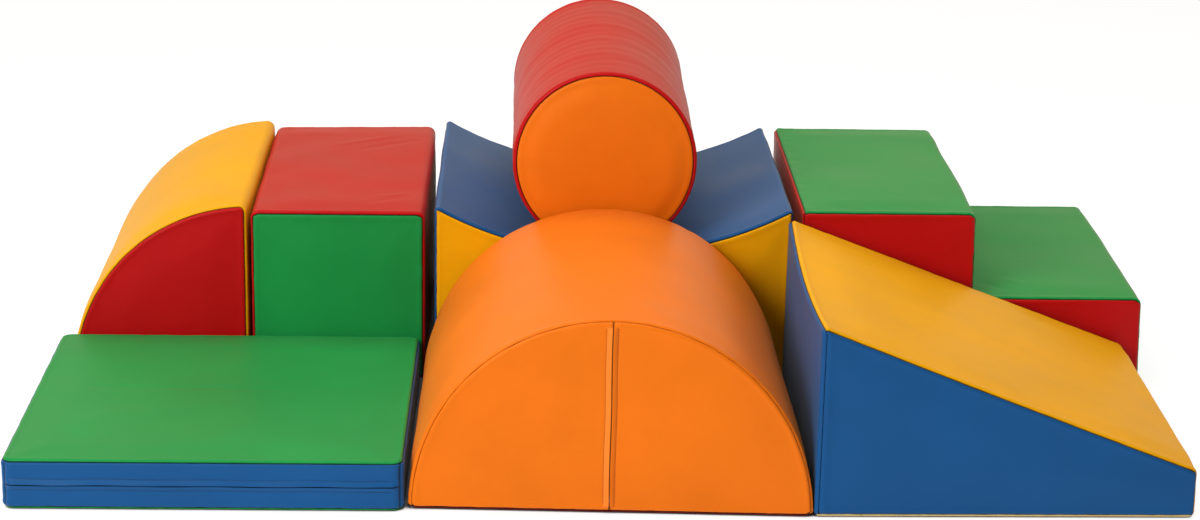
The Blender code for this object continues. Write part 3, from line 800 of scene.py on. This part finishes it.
def add_face(module, node, slot, far_end, crown, seed, zip_line=None, side=None):
    """One end panel, or the part of it on one side of its zip."""
    points, quads, triangles = face_layers(module, zip_line)
    faces = quads + triangles
    if side is not None:
        points, faces = split_mesh(points, faces, zip_line, side)
    flats = points[:, :2]
    gaps = points[:, 3]
    base = module.place_on_end(flats, points[:, 2], far_end)
    height = face_height(module, base, gaps, crown, seed)
    if zip_line is not None:
        across, along = zip_places(zip_line, flats)
        half = zip_line.half_length
        lips = lip_shape(across, along, half, seed, zip_line.drop, zip_line.rise)
        height = height + lips * smooth(gaps, 0.0, lip_seam_run)
        shift = slit_shift(across, along, half, seed, zip_line.lean)
        flats = flats + shift[:, None] * outward(zip_line.along)[None]
        slit = slit_gap(across)
        if side is None:
            slit = np.where(np.abs(along) < zip_line.half_slit + slit_half_gap, slit, 1.0)
        gaps = mark_slit(gaps, slit)
    flats = flats + points[:, 4:6] * height[:, None]
    placed = module.place_on_end(flats, points[:, 2] - height * points[:, 6], far_end)
    inner = [index for index, face in enumerate(faces) if len(face) == 3]
    faces.insert(0, faces.pop(inner[len(inner) // 2]))
    add_cover(module, node, slot, placed, faces, gaps + points[:, 7], module.end_direction(far_end))


def add_foam(module):
    """The foam block under a module's cover."""
    count = len(module.ring.place)
    deep = foam_inset + roll_radius
    sides = np.tile((deep, foam_inset, foam_inset, deep), (count, 1))
    places = (foam_inset, deep, module.length - deep, module.length - foam_inset)
    points = module.place(module.ring.inset(sides), np.tile(places, (count, 1)))
    columns = len(places)
    faces = grid_faces(count, columns, True)
    for column in (0, columns - 1):
        faces.append(tuple(range(column, count * columns, columns)))
    made = add_object(module.name, "foam", points.reshape(-1, 3), faces, foam, "core")
    maker = bmesh.new()
    maker.from_mesh(made.data)
    bmesh.ops.remove_doubles(maker, verts=maker.verts, dist=1e-5)
    bmesh.ops.recalc_face_normals(maker, faces=maker.faces)
    maker.to_mesh(made.data)
    maker.free()


def stitch_shape():
    """One stitch, lying along X, as points and faces."""
    points = [(along * stitch_length, math.cos(angle) * width * stitch_radius,
               (lift + math.sin(angle) * width) * stitch_radius)
              for along, lift, width in stitch_rings
              for angle in math.tau * np.arange(stitch_sides) / stitch_sides]
    rings = [range(low, low + stitch_sides) for low in range(0, len(points), stitch_sides)]
    faces = [face for pair in zip(rings, rings[1:]) for face in ring_faces(*pair)]
    return np.array(points), faces + [tuple(rings[0])[::-1], tuple(rings[-1])]


def stitch_places(reach):
    """Where the stitches of a row lie along it, from its middle."""
    count = int(2.0 * reach / stitch_spacing)
    return -reach + stitch_spacing * (np.arange(count) + 0.5)


def add_stitches(module, slot, places, along, out):
    """Stitches that run along one direction and stand out in another."""
    shape, shape_faces = stitch_shape()
    turn = np.stack((along, np.cross(out, along), out))
    points = np.concatenate([place + shape @ turn for place in places])
    faces = [tuple(index + low for index in face) for low in range(0, len(points), len(shape))
             for face in shape_faces]
    made = add_object(module.name, "zip_stitches", points, faces, thread[slot])
    made.data.shade_smooth()


def face_stitches(module, zip_line, far_end, crown, seed, slot):
    """Two rows of stitches on the lips of a zip in an end face."""
    along = stitch_places(zip_line.half_length - lip_end_run)
    half = zip_line.half_length
    side = outward(zip_line.along)
    places = []
    for offset in (-narrow_lip[1], wide_lip[1]):
        across = np.full(len(along), offset)
        flats = zip_line.centre + along[:, None] * zip_line.along + side * offset
        gaps = module.face_gaps(flats)
        base = module.place_on_end(flats, np.zeros(len(along)), far_end)
        height = face_height(module, base, gaps, crown, seed)
        height = height + lip_shape(across, along, half, seed, zip_line.drop, zip_line.rise)
        flats = flats + slit_shift(across, along, half, seed, zip_line.lean)[:, None] * side
        places.extend(module.place_on_end(flats, -height, far_end)[gaps > stitch_seam_gap])
    add_stitches(module, slot, places, module.to_space(zip_line.along, np.array(0.0)),
                 module.end_direction(far_end))


def footprint(name):
    """A module's front left corner, width and depth, from its base panel, which stops at the seams."""
    low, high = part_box(name + "_base")
    grow = seam_radius * quarter_share
    return (low.x - grow, low.y - grow, 0.0), high.x - low.x + 2.0 * grow, high.y - low.y + 2.0 * grow


def top_of(node):
    """Height of a panel's edges, below its crown."""
    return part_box(node)[1].z - packed_crown


def zip_on_end(name, origin, split=False):
    """The zip of a module's front or back panel, in the module's own outline, from its tape."""
    low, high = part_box(name + "_zip_tape")
    size = high - low
    centre = (low + high) / 2.0
    along = flat(0.0, 1.0) if size.z > size.x else flat(1.0, 0.0)
    half = max(size.x, size.z) / 2.0
    middle = flat(centre.x - origin[0], centre.z - origin[2])
    return ZipLine(middle, along, half + lip_overrun, half, split, 0.0,
                   *((slit_drop, 0.0) if split else (back_slit_drop, back_zip_rise)))


def over_tape(module, zip_line):
    """A level zip, moved within its leaning back cover so that it stays over its tape."""
    ends = zip_line.centre + np.outer((-1.0, 1.0), zip_line.along * zip_line.half_length)
    placed = module.place(ends, np.full(2, module.length)) - module.origin
    shift = placed[:, (0, 2)] - ends
    spread, lean = (shift[0] - shift[1]) / 2.0
    return zip_line._replace(centre=zip_line.centre - shift.mean(axis=0), lean=lean,
                             half_length=zip_line.half_length + spread)


def node_material(name, colour, roughness, metallic=0.0):
    """A new material with its shader and its node tree."""
    made = bpy.data.materials.new(name)
    made.use_nodes = True
    shader = made.node_tree.nodes["Principled BSDF"]
    shader.inputs["Base Color"].default_value = (*colour, 1.0)
    shader.inputs["Roughness"].default_value = roughness
    shader.inputs["Metallic"].default_value = metallic
    return made, made.node_tree, shader


def put(tree, socket, value):
    """Sets an input to a value, or to what another node gives."""
    if isinstance(value, bpy.types.NodeSocket):
        tree.links.new(value, socket)
    else:
        socket.default_value = value


def add_node(tree, kind, output, **inputs):
    """One output of a new node. Spaces in its inputs' names are written as underscores."""
    node = tree.nodes.new(kind)
    for key, value in inputs.items():
        put(tree, node.inputs[key.replace("_", " ")], value)
    return node.outputs[output]


def textured(tree, kind, output, **inputs):
    """One output of a texture in the object's own coordinates."""
    place = add_node(tree, "ShaderNodeTexCoord", "Object")
    return add_node(tree, kind, output, Vector=place, **inputs)


def scaled(tree, source, low, high, to_low, to_high):
    """Maps a value from one range to another."""
    return add_node(tree, "ShaderNodeMapRange", "Result", Value=source, From_Min=low, From_Max=high,
                    To_Min=to_low, To_Max=to_high)


def mixed(tree, share, first, second):
    """A mix of two colours."""
    node = tree.nodes.new("ShaderNodeMix")
    node.data_type = "RGBA"
    for index, value in ((0, share), (6, first), (7, second)):
        put(tree, node.inputs[index], (*value, 1.0) if isinstance(value, tuple) else value)
    return node.outputs[2]


def bumped(tree, height, strength, distance, **under):
    """The normal of a bump, on its own or over another's Normal."""
    return add_node(tree, "ShaderNodeBump", "Normal", Height=height, Strength=strength,
                    Distance=distance, **under)


def tinted(colour, share):
    """A colour made darker or lighter."""
    return tuple(min(1.0, channel * share) for channel in colour)


def vinyl_material(name, colour):
    """Coated fabric: grain, pores, crinkles, a faint mottle, painted shade in seams and slits, and a
    painted highlight on zip lips.
    """
    seam_shade_share, slit_shade_share = painted_shade_shares.get(name, (0.15, 0.05))
    gloss = glosses.get(name, 0.10)
    made, tree, shader = node_material(name, colour, 0.42)
    shader.inputs["Specular IOR Level"].default_value = gloss
    shader.inputs["Sheen Weight"].default_value = gloss * 0.6
    shader.inputs["Sheen Roughness"].default_value = 0.45
    shader.inputs["Sheen Tint"].default_value = (1.0, 0.84, 0.40, 1.0)
    noise = "ShaderNodeTexNoise"
    cloud = textured(tree, noise, "Fac", Scale=5.0, Detail=4.0, Roughness=0.55)
    grain = textured(tree, "ShaderNodeTexVoronoi", "Distance", Scale=620.0)
    pores = textured(tree, noise, "Fac", Scale=1500.0, Detail=2.0)
    crinkle = textured(tree, noise, "Fac", Scale=55.0, Detail=5.0, Roughness=0.6)
    gap = add_node(tree, "ShaderNodeAttribute", "Fac")
    gap.node.attribute_name = "seam_gap"
    look = tinted(colour, 0.92)
    # The mottle, then painted shade in the seams and slits, then a painted highlight on the wide zip lip
    for source, low, high, share, shade in ((cloud, 0.3, 0.7, 1.0, tinted(colour, 1.05)),
                                            (gap, 0.0019, 0.0004, 0.95, tinted(colour, seam_shade_share)),
                                            (gap, 0.0, -0.0008, 1.0, tinted(colour, slit_shade_share)),
                                            (gap, 1.2, lip_glow, 0.07, lit_lips.get(name, colour))):
        look = mixed(tree, scaled(tree, source, low, high, 0.0, share), look, shade)
    tree.links.new(look, shader.inputs["Base Color"])
    tree.links.new(scaled(tree, cloud, 0.3, 0.7, 0.40, 0.50), shader.inputs["Roughness"])
    normal = bumped(tree, crinkle, 0.35, 0.0006)
    normal = bumped(tree, grain, 0.5, 0.00012, Normal=normal)
    normal = bumped(tree, pores, 0.4, 0.00005, Normal=normal)
    tree.links.new(normal, shader.inputs["Normal"])
    return made


def grained(name, colour, roughness, strength, distance, kind, output, **inputs):
    """A plain colour with the grain of one texture."""
    made, tree, shader = node_material(name, colour, roughness)
    grain = textured(tree, kind, output, **inputs)
    tree.links.new(bumped(tree, grain, strength, distance), shader.inputs["Normal"])
    return made


def slider_material():
    """Plated metal with fine scratches."""
    made, tree, shader = node_material("zip_slider_metal", (0.55, 0.55, 0.56), 0.32, 1.0)
    scratches = textured(tree, "ShaderNodeTexNoise", "Fac", Scale=900.0, Detail=3.0)
    tree.links.new(scaled(tree, scratches, 0.3, 0.7, 0.25, 0.42), shader.inputs["Roughness"])
    return made


colours = {
    "vinyl_green": (0.010, 0.265, 0.055),
    "vinyl_blue": (0.007, 0.080, 0.242),
    "vinyl_orange": (0.805, 0.166, 0.004),
    "vinyl_yellow": (0.835, 0.380, 0.002),
    "vinyl_red": (0.480, 0.0035, 0.005),
    "vinyl_dark_red": (0.120, 0.004, 0.004),
    "vinyl_cream": (0.750, 0.560, 0.250),
}
# How dark the painted shade makes the vinyl inside its seams and slits
painted_shade_shares = {"vinyl_orange": (0.40, 0.25), "vinyl_blue": (0.40, 0.05)}
# The colour that the light adds on a zip's wide lip
lit_lips = {"vinyl_orange": (1.0, 0.75, 0.25)}
glosses = {"vinyl_yellow": 0.05}
vinyl = {slot: vinyl_material(slot, colour) for slot, colour in colours.items()}
# Twisted thread, darker than its vinyl
thread = {slot: grained(slot + "_thread", tinted(colour, 0.2), 0.6, 0.5, 0.0001, "ShaderNodeTexWave",
                        "Fac", Scale=900.0, Distortion=1.0) for slot, colour in colours.items()}
# Open-cell foam
foam = grained("foam", (0.70, 0.69, 0.64), 0.95, 0.8, 0.0004, "ShaderNodeTexVoronoi", "Distance",
               Scale=900.0)
# Woven zip tape
tape = grained("zip_tape_weave", (0.035, 0.035, 0.04), 0.75, 0.6, 0.0002, "ShaderNodeTexChecker",
               "Fac", Scale=1800.0)
metal = slider_material()


def bowed(points, size):
    """Ramp: its tall end bows outwards."""
    move = np.zeros_like(points)
    share = np.clip(points[..., 1] / size[1], 0.0, 1.0)
    bow = np.sin(half_turn * share ** bow_power) * smooth(points[..., 2], *bow_rise)
    move[..., 0] = -bow_depth * bow * (1.0 - smooth(points[..., 0], 0.0, bow_run))
    return move


def slumped(points, size):
    """Quarter-round: a curve that is a little flatter and narrower than a quarter of a circle."""
    move = np.zeros_like(points)
    width = size[0]
    back = width - points[..., 0]
    angle = np.arctan2(points[..., 2], back)
    pull = slump_depth * np.sin(2.0 * angle) * np.hypot(back, points[..., 2]) / width
    move[..., 0] = slump_shift * back / width + pull * np.cos(angle)
    move[..., 2] = -pull * np.sin(angle)
    return move


def add_floor_mat():
    """Floor mat: top, base, side band, and a front band in two halves with the zip between."""
    origin, width, depth = footprint("floor_mat")
    height = top_of("floor_mat_top")
    corners = ((0.0, 0.0), (0.0, depth), (width, depth), (width, 0.0))
    edges = closed_edges(corners, mat_kinds)
    mat = Module("floor_mat", origin, edges, height, along_z, (width, depth, height))
    side_band, front_band = mat.spans
    middle = height / 2.0
    half_length = width / 2.0 - mat_corner_radius

    def lips(across, along):
        return (lip_shape(across, along, half_length + mat_lip_overrun, mat_zip_seed),
                slit_shift(across, along, half_length, mat_zip_seed))

    def band_lips(outline, along):
        run = outline.place[:, None] - outline.place[-1] / 2.0
        return lips(along - middle, run + np.zeros_like(along))

    add_band(mat, side_band, "side_band", "vinyl_blue", crown_height, 11)
    for node, half in (("front_lower", -1.0), ("front_upper", 1.0)):
        add_band(mat, front_band, node, "vinyl_blue", zip_band_crown, 21, band_lips, middle, half)
    add_face(mat, "base", "vinyl_green", False, 0.0, 31)
    add_face(mat, "top", "vinyl_green", True, crown_height, 41)
    add_foam(mat)
    along = stitch_places(half_length - mat_stitch_margin)
    places = []
    for offset in (-narrow_lip[1], wide_lip[1]):
        lift, shift = lips(np.full(len(along), offset), along)
        places.extend(mat.origin + np.stack((width / 2.0 - along, -lift, middle + offset + shift), axis=-1))
    add_stitches(mat, "vinyl_blue", places, (-1.0, 0.0, 0.0), (0.0, -1.0, 0.0))


def add_half_round():
    """Half-round: barrel panel, base, back, and a front panel in two halves with the zip between."""
    origin, width, depth = footprint("half_round")
    radius = width / 2.0
    edges = closed_edges(((0.0, 0.0), (width, 0.0)), half_round_kinds, 0, flat(radius, 0.0))
    module = Module("half_round", origin, edges, depth, along_y, (width, depth, radius))
    barrel, base = module.spans
    add_band(module, barrel, "barrel", "vinyl_orange", crown_height, 51)
    add_band(module, base, "base", "vinyl_dark_red", 0.0, 52)
    zip_line = zip_on_end("half_round", origin, True)
    zip_line = zip_line._replace(half_length=radius / 2.0 + half_round_lip_overrun,
                                 lean=half_round_zip_lean,
                                 centre=zip_line.centre - flat(half_round_zip_shift, 0.0))
    for node, side in (("front_right", -1.0), ("front_left", 1.0)):
        add_face(module, node, "vinyl_orange", False, zip_face_crown, 61, zip_line, side)
    add_face(module, "back", "vinyl_orange", True, crown_height, 71)
    face_stitches(module, zip_line, False, zip_face_crown, 61, "vinyl_orange")
    add_foam(module)


def add_straight(name, edges_of, end_slot, seed, warp=None, **panels):
    """A module with wrapped panels, a front panel, and a back panel that a level zip slits."""
    origin, width, depth = footprint(name)
    edges = edges_of(width)
    size = (width, depth, max(edge.start[1] for edge in edges))
    module = Module(name, origin, edges, depth, along_y, size, warp)
    for index, (node, slot) in enumerate(panels.items()):
        crown = 0.0 if node == "base" else crown_height
        add_band(module, module.spans[index], node, slot, crown, seed + 3 * index)
    add_face(module, "front", end_slot, False, crown_height, seed + 11)
    zip_line = over_tape(module, zip_on_end(name, origin))
    add_face(module, "back", end_slot, True, back_crown, seed + 13, zip_line)
    face_stitches(module, zip_line, True, back_crown, seed + 13, end_slot)
    add_foam(module)


def ramp_edges(width):
    """Ramp: tall end, slope with low end, base."""
    height = top_of("ramp_tall_end")
    corners = ((0.0, 0.0), (0.0, height), (width, ramp_low_height), (width, 0.0))
    return closed_edges(corners, (seamed, wrapped, seamed, standing))


def quarter_round_edges(width):
    """Quarter-round: curve and straight side, base."""
    corners = ((0.0, 0.0), (width, width), (width, 0.0))
    return closed_edges(corners, (wrapped, seamed, standing), 0, flat(width, 0.0))


def block_edges(width):
    """Block: both sides and the top, base."""
    height = top_of("block_strip")
    corners = ((0.0, 0.0), (0.0, height), (width, height), (width, 0.0))
    return closed_edges(corners, (wrapped, wrapped, seamed, standing))


def cradle_edges(width):
    """Cradle: both sides and the hollow, base."""
    half = width / 2.0
    radius = (half ** 2 + cradle_dip ** 2) / (2.0 * cradle_dip)
    corners = ((0.0, 0.0), (0.0, cradle_height), (width, cradle_height), (width, 0.0))
    return closed_edges(corners, cradle_kinds, 1, flat(half, cradle_height - cradle_dip + radius))


def stairs_edges(width):
    """Stairs: tall end, treads with riser and low end, base."""
    height = top_of("stairs_tread_strip")
    corners = ((0.0, 0.0), (0.0, height), (high_step_width, height),
               (high_step_width, low_step_height), (width, low_step_height), (width, 0.0))
    return closed_edges(corners, (seamed, wrapped, creased, wrapped, seamed, standing))


def hoops(outline, along):
    """Faint, uneven waves that run round the roller's barrel, and a raised rim at its back end."""
    turn = np.arctan2(outline.out[:, 1], outline.out[:, 0])[:, None]
    swing = 0.0
    for length, bends, start in hoop_waves:
        sway = np.sin(bends * turn + start)
        wave = np.sin(along * math.tau / length + start + hoop_bend * sway)
        swing = swing + wave * (1.0 - hoop_fade + hoop_fade * sway)
    to_back = along.max() - along
    height = hoop_height * swing * smooth(along, *hoop_front_run) * smooth(to_back, *hoop_back_run)
    return height + rim_height * np.exp(-((to_back - rim_place) / rim_width) ** 2), 0.0


def add_roller():
    """Roller: barrel panel, front disc, and a back disc that an upright zip slits."""
    turn = next(joint for joint in frame["joints"] if joint["name"] == "roller_turn")
    low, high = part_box("roller_barrel")
    grow = roll_radius * quarter_share
    origin = (turn["pos_m"][0], low.y - grow, turn["pos_m"][2])
    module = Module("roller", origin, None, high.y - low.y + 2.0 * grow, along_y)
    module.ring = circle((high.x - low.x) / 2.0, roller_segments)
    add_band(module, module.ring, "barrel", "vinyl_red", barrel_crown, 201, hoops)
    add_face(module, "front_disc", "vinyl_orange", False, front_disc_crown, 211)
    zip_line = zip_on_end("roller", origin)
    add_face(module, "back_disc", "vinyl_orange", True, back_disc_crown, 221, zip_line)
    face_stitches(module, zip_line, True, back_disc_crown, 221, "vinyl_orange")
    add_foam(module)


add_floor_mat()
add_half_round()
add_straight("ramp", ramp_edges, "vinyl_blue", 80, bowed,
             tall_end="vinyl_blue", slope="vinyl_yellow", base="vinyl_cream")
add_straight("quarter_round", quarter_round_edges, "vinyl_red", 100, slumped,
             strip="vinyl_yellow", base="vinyl_yellow")
add_straight("block", block_edges, "vinyl_green", 120, strip="vinyl_red", base="vinyl_red")
add_straight("cradle", cradle_edges, "vinyl_yellow", 140, strip="vinyl_blue", base="vinyl_blue")
add_straight("stairs", stairs_edges, "vinyl_red", 160,
             tall_end="vinyl_red", tread_strip="vinyl_green", base="vinyl_red")
add_roller()
for name, node in frame["nodes"].items():
    for ending, material in (("_zip_tape", tape), ("_zip_slider", metal)):
        if name.endswith(ending):
            node.data.materials.clear()
            node.data.materials.append(material)

# Floor
floor_size = 60.0
floor_drop = 0.0004
bpy.ops.mesh.primitive_plane_add(size=floor_size, location=(0.0, 0.0, -floor_drop))
floor = bpy.context.object
floor.name = "floor"
floor_look, tree, shader = node_material("floor_paint", (0.25, 0.25, 0.25), 0.6)
shader.inputs["Specular IOR Level"].default_value = 0.0
shader.inputs["Emission Color"].default_value = (1.0, 1.0, 1.0, 1.0)
# Ambient occlusion dims the floor's white glow in the narrow gaps between and beside the modules: painted
# shade
floor_occlusion = add_node(tree, "ShaderNodeAmbientOcclusion", "AO", Distance=0.35)
floor_occlusion.node.samples = 16
tree.links.new(scaled(tree, floor_occlusion, 0.20, 0.46, 0.0, 0.84), shader.inputs["Emission Strength"])
floor.data.materials.append(floor_look)

# Camera
camera_place = Vector((-0.13793, -4.85509, 1.69243))
camera_yaw = 0.026631
camera_pitch = 0.294375
camera_roll = 0.016753
camera_lens = 89.25
camera_sensor = 36.0
camera_reach = 120.0
camera = bpy.data.objects.new("camera", bpy.data.cameras.new("camera"))
camera.data.sensor_width = camera_sensor
camera.data.lens = camera_lens
camera.data.clip_end = camera_reach
camera.matrix_world = (Matrix.Translation(camera_place) @ Matrix.Rotation(-camera_yaw, 4, "Z")
                       @ Matrix.Rotation(quarter_turn - camera_pitch, 4, "X")
                       @ Matrix.Rotation(camera_roll, 4, "Z"))
bpy.context.scene.collection.objects.link(camera)
bpy.context.scene.camera = camera


def add_light(name, place, size, power):
    """A soft box that faces the climber."""
    light = bpy.data.lights.new(name, "AREA")
    light.shape = "RECTANGLE"
    light.size, light.size_y = size
    light.energy = power
    made = bpy.data.objects.new(name, light)
    made.location = place
    made.rotation_euler = (light_target - Vector(place)).to_track_quat("-Z", "Y").to_euler()
    bpy.context.scene.collection.objects.link(made)


light_target = Vector((0.0, 0.0, 0.2))
add_light("overhead", (0.0, 0.2, 3.2), (3.0, 2.4), 59.0)
add_light("front_left", (-2.4, -3.2, 2.2), (2.0, 1.8), 137.0)

# Surroundings, brighter behind the climber than before it
world = bpy.data.worlds.new("studio")
world.use_nodes = True
tree = world.node_tree
way = add_node(tree, "ShaderNodeTexCoord", "Generated")
back = scaled(tree, add_node(tree, "ShaderNodeSeparateXYZ", "Y", Vector=way), -0.5, 0.8, 0.0, 1.0)
glow = mixed(tree, back, (0.09, 0.09, 0.09), (0.95, 0.82, 0.62))
tree.links.new(glow, tree.nodes["Background"].inputs["Color"])
bpy.context.scene.world = world
bpy.context.scene.view_settings.view_transform = "Standard"
